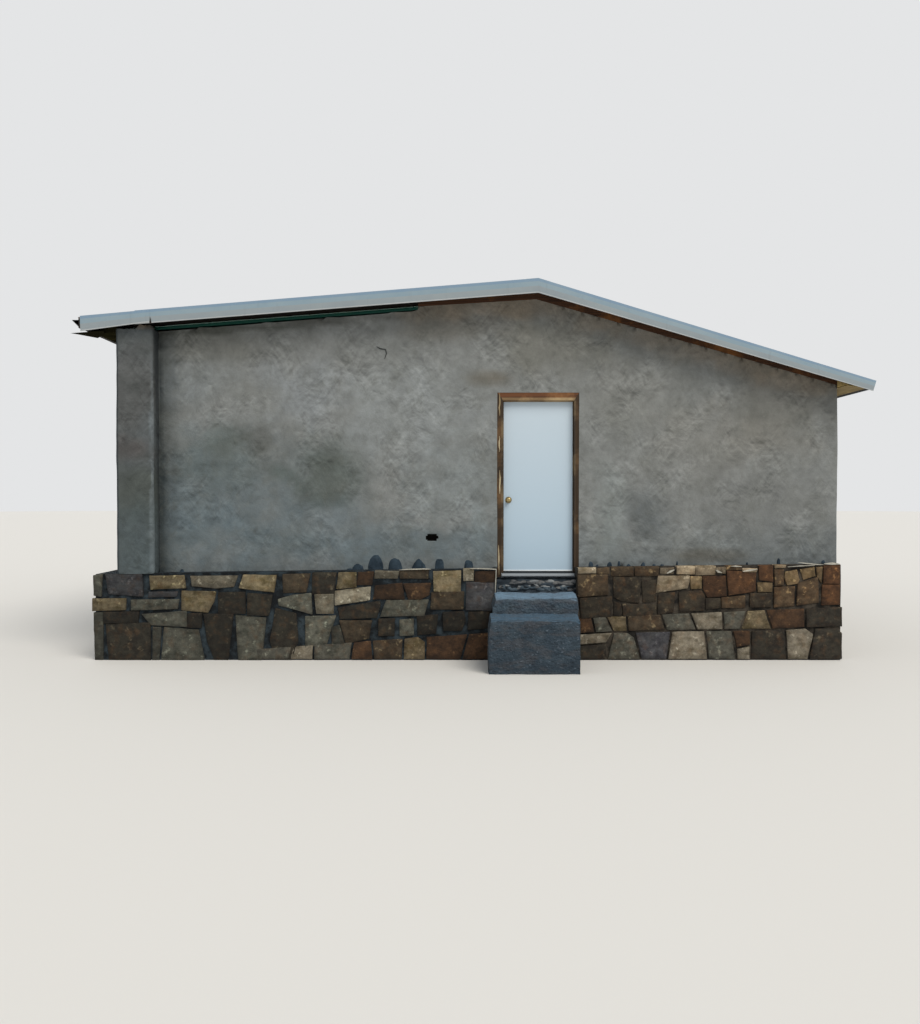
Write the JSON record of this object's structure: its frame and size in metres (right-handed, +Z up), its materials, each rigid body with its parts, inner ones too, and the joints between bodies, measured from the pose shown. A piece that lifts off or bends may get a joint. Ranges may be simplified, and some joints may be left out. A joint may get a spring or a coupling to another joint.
{
  "type": "adobe house",
  "caption": "One-room adobe house on a fieldstone plinth, with concrete steps up to a white door and a low, uneven gable roof of sheet metal",
  "frame": {"origin": "on the level underside of the plinth and steps, in the middle of the box that the whole house fills in X and Y", "axes": "+X to the right seen from the front, along the front wall; +Y from the front with the door towards the rear; +Z up"},
  "size_m": [9.23, 13.573, 4.4105],
  "materials": {
    "fieldstone": "angular split fieldstone in recessed mortar",
    "adobe": "hand-trowelled grey mud plaster",
    "concrete": "coarse, worn",
    "floor": "floated concrete",
    "timber": "sawn, weathered",
    "boards": "sawn",
    "dark_boards": "weathered dark",
    "plywood": "bare plywood",
    "jamb": "planed, bare",
    "green_paint": "dark green paint",
    "white_paint": "white paint",
    "door_paint": "smooth white paint",
    "roof_sheet": "ribbed, weathered",
    "trim": "white, satin",
    "brass": "worn",
    "steel": "plain"
  },
  "bodies": {
    "house": {"plinth_front_left": "fieldstone", "plinth_front_right": "fieldstone", "plinth_left": "fieldstone", "plinth_right": "fieldstone", "plinth_rear": "fieldstone", "sill_course": "concrete", "upper_step": "concrete", "lower_step": "concrete", "floor_slab": "floor", "front_wall_left": "adobe", "front_wall_right": "adobe", "front_wall_over_door": "adobe", "left_wall": "adobe", "right_wall": "adobe", "rear_wall": "adobe", "corner_pilaster": "adobe", "ridge_beam": "timber", "rafters_left": "timber", "rafters_right": "timber", "gable_rafters": "timber", "gable_plates": "green_paint", "eave_fascias": "timber", "roof_deck_left": "boards", "roof_deck_right": "boards", "roof_sheet_left": "roof_sheet", "roof_sheet_right": "roof_sheet", "ridge_cap": "trim", "barge_board_front": "timber", "barge_board_rear": "timber", "rake_trim_front_left": "trim", "rake_trim_front_right": "trim", "rake_trim_rear_left": "trim", "rake_trim_rear_right": "trim", "eave_trim_left": "trim", "eave_trim_right": "trim", "soffit_left": "dark_boards", "soffit_right": "plywood", "door_buck": "timber", "door_jamb": "jamb", "threshold": "white_paint", "frame_hinges": "steel"},
    "door": {"door_leaf": "door_paint", "leaf_hinges": "steel", "knob_roses": "brass"},
    "knob": {"door_knob": "brass"}
  },
  "joints": [
    {"name": "door_hinge", "type": "hinge", "parent": "house", "child": "door", "pos_m": [1.183, -5.5915, 2.0255], "axis": [0, 0, -1], "range_deg": [0, 95]},
    {"name": "knob_turn", "type": "hinge", "parent": "door", "child": "knob", "pos_m": [0.412, -5.6215, 1.865], "axis": [0, -1, 0], "range_deg": [0, 60], "stiffness_Nm_per_rad": 0.6}
  ]
}
